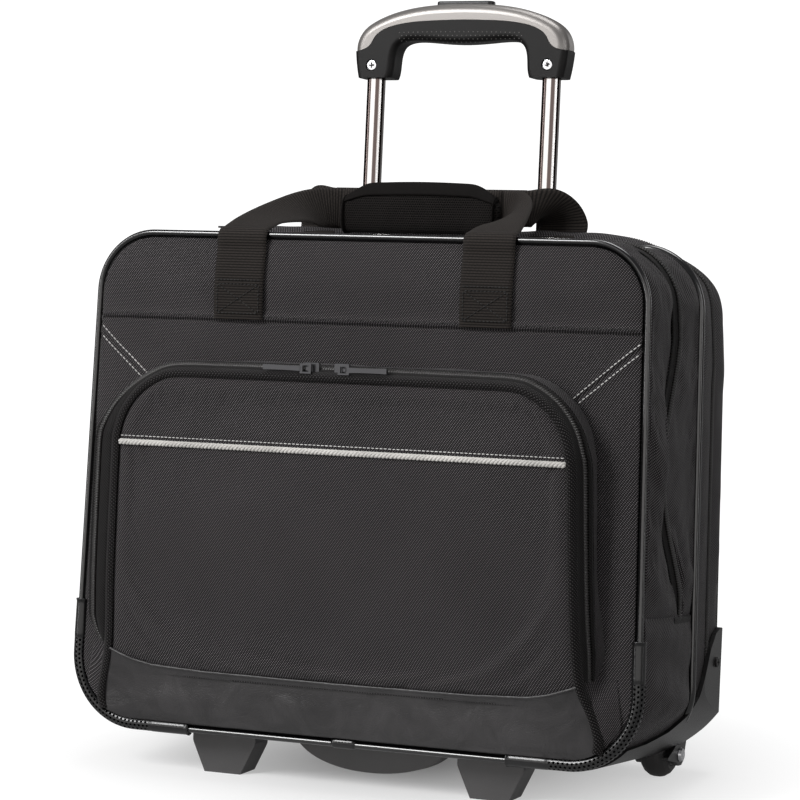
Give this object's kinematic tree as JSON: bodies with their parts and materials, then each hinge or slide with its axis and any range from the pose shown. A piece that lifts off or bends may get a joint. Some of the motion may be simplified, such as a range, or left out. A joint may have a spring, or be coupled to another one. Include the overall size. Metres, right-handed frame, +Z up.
{
  "type": "rolling laptop case",
  "caption": "Soft-sided wheeled laptop case with zipped front pocket, hinged zip lid, carry handle, telescopic pull handle, corner wheels and feet",
  "frame": {"origin": "on the floor, under the middle of the whole case", "axes": "+X to the case's right seen from the front, +Y from the front pocket to the telescopic handle, +Z up"},
  "size_m": [0.431, 0.2369, 0.5389],
  "materials": {
    "ballistic_fabric": "matte woven nylon, fine twill",
    "webbing": "ribbed woven webbing",
    "mesh_fabric": "padded spacer mesh",
    "piping_vinyl": "glossy extruded vinyl bead",
    "zip_coil": "nylon coil on woven tape",
    "grained_trim": "semi-gloss coated trim",
    "stripe_cord": "braided light cord",
    "moulded_black": "fine-textured moulded plastic",
    "board": "stiff sheet plastic under lining",
    "foam": "lined foam",
    "chrome_tube": "polished plated tube",
    "grip_soft": "soft-touch moulding",
    "grip_shell": "satin metallic lacquer",
    "bright_metal": "plated die casting",
    "steel": "plated steel",
    "tyre_rubber": "moulded urethane",
    "hub_plastic": "moulded hub"
  },
  "bodies": {
    "case": {"lower_gusset": "ballistic_fabric", "main_zip_rear": "zip_coil", "main_gusset": "ballistic_fabric", "mid_piping": "piping_vinyl", "divider_panel": "board", "rear_gusset": "ballistic_fabric", "rear_zip": "zip_coil", "back_gusset": "ballistic_fabric", "back_panel": "ballistic_fabric", "tube_cover_panel": "board", "laptop_pad": "foam", "base_board": "board", "outer_tubes": "chrome_tube", "handle_bezel": "moulded_black", "tube_bracket": "moulded_black", "rear_straps": "webbing", "wheel_housing_left": "moulded_black", "wheel_housing_right": "moulded_black", "wheel_axles": "steel", "wheel_bearings": "steel", "foot_left": "moulded_black", "foot_right": "moulded_black", "middle_skid": "moulded_black", "housing_screws": "bright_metal"},
    "front_lid": {"front_panel": "ballistic_fabric", "front_piping": "piping_vinyl", "corner_sleeve_left": "moulded_black", "corner_sleeve_right": "moulded_black", "lid_gusset": "ballistic_fabric", "main_zip_front": "zip_coil", "front_pocket": "ballistic_fabric", "pocket_zip": "zip_coil", "pocket_gusset": "ballistic_fabric", "pocket_base_trim": "grained_trim", "pocket_stripe": "stripe_cord", "pocket_welt": "piping_vinyl", "front_straps": "webbing"},
    "handle_middle": {"middle_tubes": "chrome_tube", "middle_collars": "moulded_black"},
    "handle_inner": {"inner_tubes": "chrome_tube", "grip_lower": "grip_soft", "grip_upper_shell": "grip_shell", "grip_screws": "bright_metal"},
    "release_button": {"release_button": "grip_shell", "release_rods": "steel"},
    "carry_front": {"carry_strap_front": "webbing", "carry_wrap": "mesh_fabric"},
    "carry_rear": {"carry_strap_rear": "webbing"},
    "pocket_slider_l": {"pocket_slider_left": "bright_metal"},
    "pocket_pull_l": {"pocket_pull_left": "webbing"},
    "pocket_slider_r": {"pocket_slider_right": "bright_metal"},
    "pocket_pull_r": {"pocket_pull_right": "webbing"},
    "main_slider": {"main_zip_slider": "bright_metal"},
    "main_pull": {"main_zip_pull": "webbing"},
    "rear_slider": {"rear_zip_slider": "bright_metal"},
    "rear_pull": {"rear_zip_pull": "webbing"},
    "wheel_left": {"wheel_hub_left": "hub_plastic", "wheel_tyre_left": "tyre_rubber"},
    "wheel_right": {"wheel_hub_right": "hub_plastic", "wheel_tyre_right": "tyre_rubber"}
  },
  "joints": [
    {"name": "lid_hinge", "type": "hinge", "parent": "case", "child": "front_lid", "pos_m": [0, -0.09433, 0.03248], "axis": [1, 0, 0], "range_deg": [0, 18]},
    {"name": "handle_stage_one", "type": "slide", "parent": "case", "child": "handle_middle", "axis": [0, 0.1045, 0.9945], "range_m": [0, 0.265]},
    {"name": "handle_stage_two", "type": "slide", "parent": "handle_middle", "child": "handle_inner", "axis": [0, 0.1045, 0.9945], "range_m": [-0.105, 0.15]},
    {"name": "button_press", "type": "slide", "parent": "handle_inner", "child": "release_button", "axis": [0, -0.1045, -0.9945], "range_m": [0, 0.0035]},
    {"name": "carry_front_swing", "type": "hinge", "parent": "front_lid", "child": "carry_front", "pos_m": [0, -0.05781, 0.37987], "axis": [1, 0, 0], "range_deg": [0, 150]},
    {"name": "carry_rear_swing", "type": "hinge", "parent": "case", "child": "carry_rear", "pos_m": [0, 0.0638, 0.37463], "axis": [-1, 0, 0], "range_deg": [0, 40]},
    {"name": "pocket_left_zip", "type": "slide", "parent": "front_lid", "child": "pocket_slider_l", "axis": [1, 0, 0], "range_m": [-0.085, 0]},
    {"name": "pocket_right_zip", "type": "slide", "parent": "front_lid", "child": "pocket_slider_r", "axis": [1, 0, 0], "range_m": [0, 0.085]},
    {"name": "pocket_left_tab", "type": "hinge", "parent": "pocket_slider_l", "child": "pocket_pull_l", "pos_m": [-0.021, -0.10393, 0.28839], "axis": [0, 0.1045, 0.9945], "range_deg": [0, 140]},
    {"name": "pocket_right_tab", "type": "hinge", "parent": "pocket_slider_r", "child": "pocket_pull_r", "pos_m": [0.0015, -0.10393, 0.28839], "axis": [0, -0.1045, -0.9945], "range_deg": [0, 140]},
    {"name": "main_zip_run", "type": "slide", "parent": "case", "child": "main_slider", "axis": [1, 0, 0], "range_m": [-0.01, 0.28]},
    {"name": "main_zip_tab", "type": "hinge", "parent": "main_slider", "child": "main_pull", "pos_m": [-0.138, -0.00903, 0.37766], "axis": [0, -0.9945, 0.1045], "range_deg": [0, 90]},
    {"name": "rear_zip_run", "type": "slide", "parent": "case", "child": "rear_slider", "axis": [1, 0, 0], "range_m": [-0.115, 0.15]},
    {"name": "rear_zip_tab", "type": "hinge", "parent": "rear_slider", "child": "rear_pull", "pos_m": [-0.01, 0.07289, 0.37971], "axis": [0, -0.9945, 0.1045], "range_deg": [0, 90]},
    {"name": "left_wheel_spin", "type": "hinge", "parent": "case", "child": "wheel_left", "pos_m": [-0.1786, 0.03833, 0.0165], "axis": [1, 0, 0], "continuous": true},
    {"name": "right_wheel_spin", "type": "hinge", "parent": "case", "child": "wheel_right", "pos_m": [0.1786, 0.03833, 0.0165], "axis": [1, 0, 0], "continuous": true}
  ]
}
